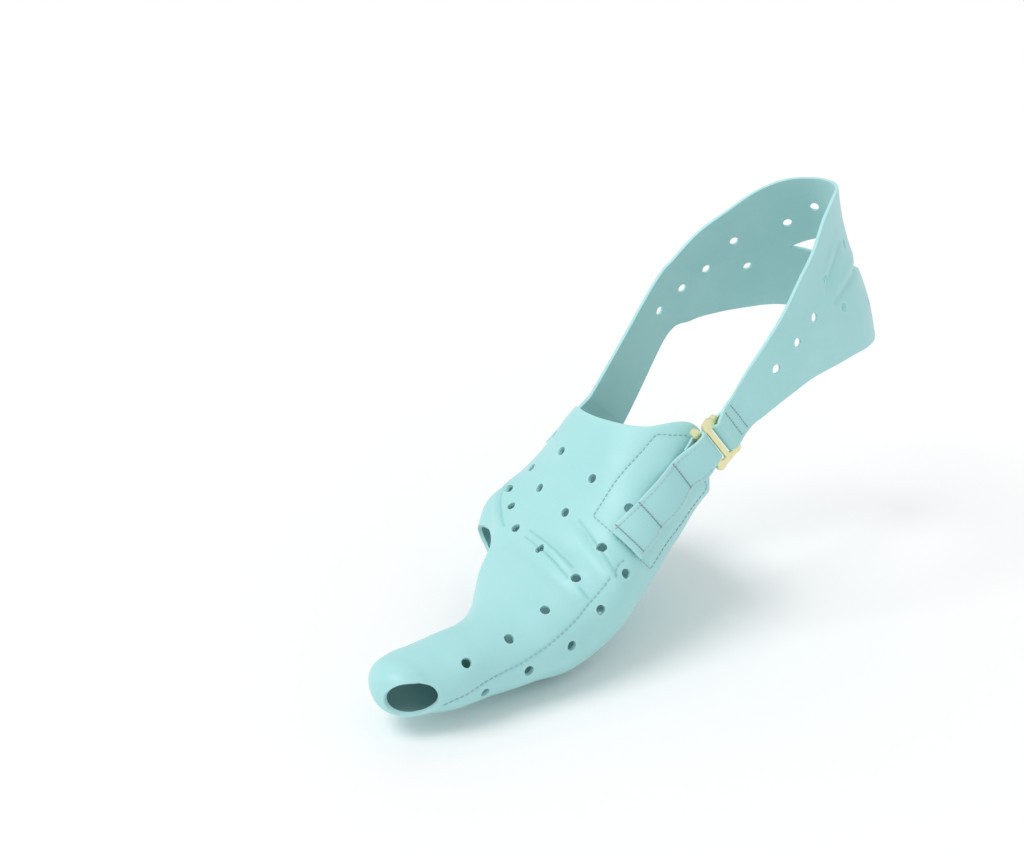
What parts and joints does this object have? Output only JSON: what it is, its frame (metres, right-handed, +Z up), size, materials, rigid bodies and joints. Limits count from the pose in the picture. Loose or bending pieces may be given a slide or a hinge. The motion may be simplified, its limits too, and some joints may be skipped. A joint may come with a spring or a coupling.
{
  "type": "bunion corrector",
  "caption": "Soft leather foot brace: a tube sleeve for the big toe on a forefoot wrap, with a stitched side strap, a metal hook clasp and a heel strap.",
  "frame": {"origin": "middle of the opening at the rear of the forefoot wrap, which the foot goes in by", "axes": "+Z up along the leg as worn, -Y towards the toes, +X to the big-toe side of the right foot"},
  "size_m": [0.0833, 0.2275, 0.1393],
  "materials": {
    "mint_leather": "smooth satin",
    "pale_gold": "polished"
  },
  "bodies": {
    "root": {"sleeve": "mint_leather", "ladder_strap": "mint_leather", "heel_strap": "mint_leather", "hook_clasp": "pale_gold"}
  },
  "joints": []
}
